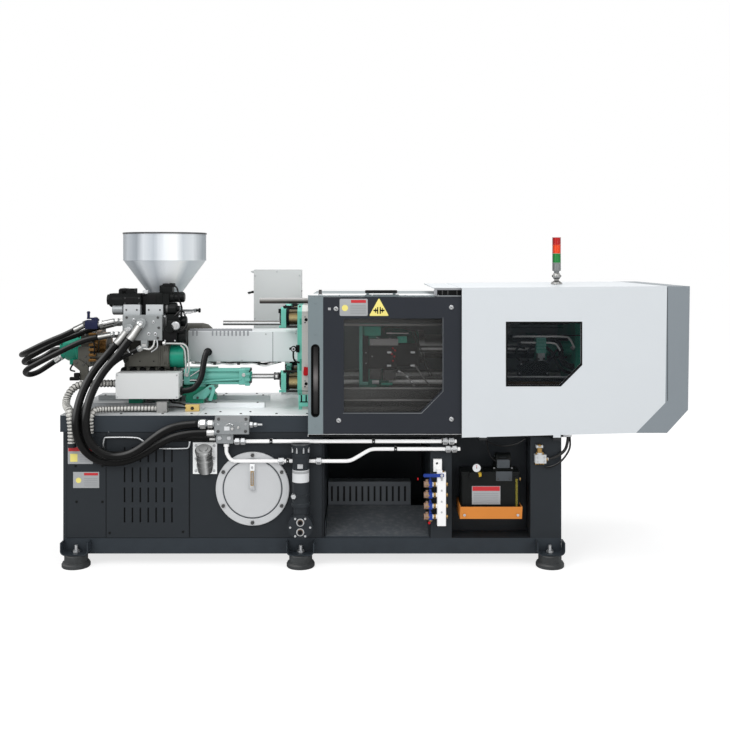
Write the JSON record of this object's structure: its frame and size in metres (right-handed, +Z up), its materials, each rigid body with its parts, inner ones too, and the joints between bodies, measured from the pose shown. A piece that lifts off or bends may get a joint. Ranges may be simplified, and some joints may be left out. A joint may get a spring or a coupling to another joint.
{
  "type": "injection moulding machine",
  "caption": "Horizontal hydraulic injection moulding machine with hopper, screw unit, sliding guard gates and a covered clamp on a long base.",
  "frame": {"origin": "centre of the machine's footprint on the floor", "axes": "+X from the hopper end to the clamp end, -Y towards the operator, +Z up"},
  "size_m": [3.7914, 1.0704, 1.835],
  "materials": {
    "bar_paint": "satin",
    "barrel_cover_paint": "satin",
    "barrel_steel": "heated",
    "base_paint": "satin",
    "bed_steel": "brushed",
    "black_plastic": "matt",
    "blue_handle": "gloss",
    "box_paint": "satin",
    "brass": "polished",
    "cabinet_paint": "satin",
    "carriage_paint": "gloss",
    "chrome_steel": "polished",
    "chute_steel": "gloss",
    "clear_sheet": "clear",
    "conduit_metal": "dull",
    "cooler_paint": "satin",
    "cover_paint": "satin",
    "cylinder_paint": "gloss",
    "dark_teal_paint": "gloss",
    "end_cap_paint": "satin",
    "foot_rubber": "matt",
    "gate_frame_paint": "satin",
    "gate_panel_paint": "satin",
    "green_paint": "gloss",
    "grey_aluminium": "satin",
    "hopper_steel": "brushed",
    "hose_rubber": "satin",
    "lamp_plastic": "clear",
    "lead_rubber": "matt",
    "manifold_steel": "satin",
    "motor_paint": "gloss",
    "olive_paint": "satin",
    "orange_tray": "satin",
    "panel_paint": "satin",
    "pipe_metal": "bright",
    "rail_steel": "ground",
    "ram_chrome": "polished",
    "rear_gate_paint": "satin",
    "screw_steel": "polished",
    "shutter_steel": "satin",
    "tank_cover_paint": "satin",
    "tank_paint": "satin",
    "teal_paint": "gloss",
    "traverse_paint": "gloss",
    "valve_black": "satin",
    "valve_steel": "satin",
    "white_manifold": "satin"
  },
  "bodies": {
    "base": {"base_frame": "base_paint", "cabinet_panels": "panel_paint", "oil_tank": "tank_paint", "tank_cover": "tank_cover_paint", "filler_breather": "grey_aluminium", "oil_cooler": "cooler_paint", "parts_chute": "chute_steel", "bed_top_plates": "bed_steel", "levelling_feet": "foot_rubber", "water_manifold": "white_manifold", "lube_tray": "orange_tray", "lube_pump": "black_plastic", "lube_distributor": "brass", "oil_pipes": "pipe_metal", "base_manifold": "valve_steel", "control_cabinet": "cabinet_paint", "guide_rails": "rail_steel", "fixed_platen": "teal_paint", "tie_bars": "chrome_steel", "tie_bar_nuts": "brass", "nut_retainers": "green_paint", "guide_rods": "chrome_steel", "cylinder_platen": "teal_paint", "clamp_cylinders": "cylinder_paint", "clamp_cover": "cover_paint", "cover_window": "clear_sheet", "cover_end_cap": "end_cap_paint", "stack_lamp": "lamp_plastic", "conduit_block": "box_paint", "bed_conduit": "conduit_metal"},
    "platen": {"moving_platen": "dark_teal_paint", "clamp_ram": "ram_chrome", "travel_rods": "chrome_steel", "safety_bar": "bar_paint"},
    "ejector": {"ejector": "rail_steel"},
    "front_gate": {"gate_frame": "gate_frame_paint", "gate_panel": "gate_panel_paint", "gate_window": "clear_sheet"},
    "rear_gate": {"rear_gate": "rear_gate_paint"},
    "water_lever": {"water_valve_lever": "blue_handle"},
    "carriage": {"carriage_base": "carriage_paint", "injection_housing": "olive_paint", "injection_cylinders": "dark_teal_paint", "hopper": "hopper_steel", "injection_manifold": "manifold_steel", "hydraulic_valves": "valve_black", "barrel": "barrel_steel", "barrel_cover": "barrel_cover_paint", "traverse_cylinder": "traverse_paint", "wiring_box": "box_paint", "heater_conduit": "lead_rubber", "supply_hoses": "hose_rubber", "bed_cable": "lead_rubber", "drive_conduit": "conduit_metal"},
    "shutter": {"hopper_shutter": "shutter_steel"},
    "stop_handle": {"valve_handle": "manifold_steel"},
    "drive": {"screw_drive": "dark_teal_paint", "hydraulic_motor": "motor_paint", "motor_hoses": "hose_rubber"},
    "screw": {"screw": "screw_steel"}
  },
  "joints": [
    {"name": "platen_slide", "type": "slide", "parent": "base", "child": "platen", "axis": [-1, 0, 0], "range_m": [-0.2, 0.11]},
    {"name": "ejector_slide", "type": "slide", "parent": "platen", "child": "ejector", "axis": [-1, 0, 0], "range_m": [0, 0.05]},
    {"name": "front_gate_slide", "type": "slide", "parent": "base", "child": "front_gate", "axis": [1, 0, 0], "range_m": [0, 0.7]},
    {"name": "rear_gate_slide", "type": "slide", "parent": "base", "child": "rear_gate", "axis": [1, 0, 0], "range_m": [0, 0.7]},
    {"name": "water_valve_turn", "type": "hinge", "parent": "base", "child": "water_lever", "pos_m": [0.437, -0.44, 0.505], "axis": [0, 1, 0], "range_deg": [0, 90]},
    {"name": "carriage_slide", "type": "slide", "parent": "base", "child": "carriage", "axis": [-1, 0, 0], "range_m": [0, 0.18], "deforming": ["supply_hoses", "bed_cable", "drive_conduit"]},
    {"name": "shutter_slide", "type": "slide", "parent": "carriage", "child": "shutter", "axis": [-1, 0, 0], "range_m": [0, 0.075]},
    {"name": "stop_valve_turn", "type": "hinge", "parent": "carriage", "child": "stop_handle", "pos_m": [-1.526, -0.205, 1.33], "axis": [0, 0, 1], "range_deg": [0, 90]},
    {"name": "injection_slide", "type": "slide", "parent": "carriage", "child": "drive", "axis": [-1, 0, 0], "range_m": [0, 0.12], "deforming": ["motor_hoses"]},
    {"name": "screw_spin", "type": "hinge", "parent": "drive", "child": "screw", "pos_m": [-1.4, 0, 1.16], "axis": [1, 0, 0], "continuous": true}
  ]
}
